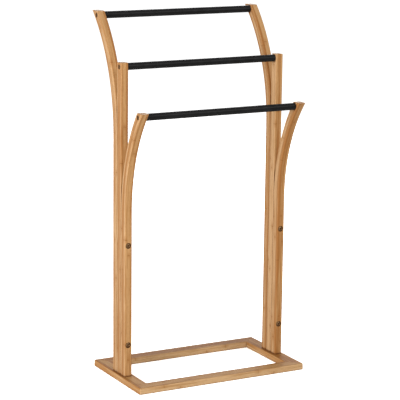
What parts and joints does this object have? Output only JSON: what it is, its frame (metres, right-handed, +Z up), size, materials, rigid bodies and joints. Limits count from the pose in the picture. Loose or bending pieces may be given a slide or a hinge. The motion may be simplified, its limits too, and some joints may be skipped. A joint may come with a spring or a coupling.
{
  "type": "towel rack",
  "caption": "Free-standing bamboo towel rack: open mitred floor frame, stacked side posts that bow forward and back, and black steel hanging bars at stepped heights.",
  "frame": {"origin": "on the floor, at the middle of the rack's overall width and depth", "axes": "+X to the right along the bars as seen from the low bar's side, +Y to the rear, towards the highest bar, +Z up"},
  "size_m": [0.42, 0.2598, 0.82],
  "materials": {
    "bamboo_posts": "laminated bamboo, clear satin lacquer",
    "bamboo_base": "laminated bamboo, clear satin lacquer",
    "black_steel": "black powder coat, satin",
    "fastener_steel": "bronze-plated steel"
  },
  "bodies": {
    "root": {"base_front_rail": "bamboo_base", "base_rear_rail": "bamboo_base", "base_left_rail": "bamboo_base", "base_right_rail": "bamboo_base", "corner_tongue_front_left": "bamboo_base", "corner_tongue_front_right": "bamboo_base", "corner_tongue_rear_left": "bamboo_base", "corner_tongue_rear_right": "bamboo_base", "left_rear_post": "bamboo_posts", "left_middle_post": "bamboo_posts", "left_front_post": "bamboo_posts", "right_rear_post": "bamboo_posts", "right_middle_post": "bamboo_posts", "right_front_post": "bamboo_posts", "rear_bar": "black_steel", "middle_bar": "black_steel", "front_bar": "black_steel", "rear_bar_left_insert": "fastener_steel", "rear_bar_right_insert": "fastener_steel", "middle_bar_left_insert": "fastener_steel", "middle_bar_right_insert": "fastener_steel", "front_bar_left_insert": "fastener_steel", "front_bar_right_insert": "fastener_steel", "rear_bar_left_screw": "fastener_steel", "rear_bar_right_screw": "fastener_steel", "middle_bar_left_screw": "fastener_steel", "middle_bar_right_screw": "fastener_steel", "front_bar_left_screw": "fastener_steel", "front_bar_right_screw": "fastener_steel", "left_upper_stack_bolt": "fastener_steel", "left_lower_stack_bolt": "fastener_steel", "right_upper_stack_bolt": "fastener_steel", "right_lower_stack_bolt": "fastener_steel", "left_upper_insert_nut": "fastener_steel", "left_lower_insert_nut": "fastener_steel", "right_upper_insert_nut": "fastener_steel", "right_lower_insert_nut": "fastener_steel", "left_rear_foot_screw": "fastener_steel", "left_middle_foot_screw": "fastener_steel", "left_front_foot_screw": "fastener_steel", "right_rear_foot_screw": "fastener_steel", "right_middle_foot_screw": "fastener_steel", "right_front_foot_screw": "fastener_steel"}
  },
  "joints": []
}
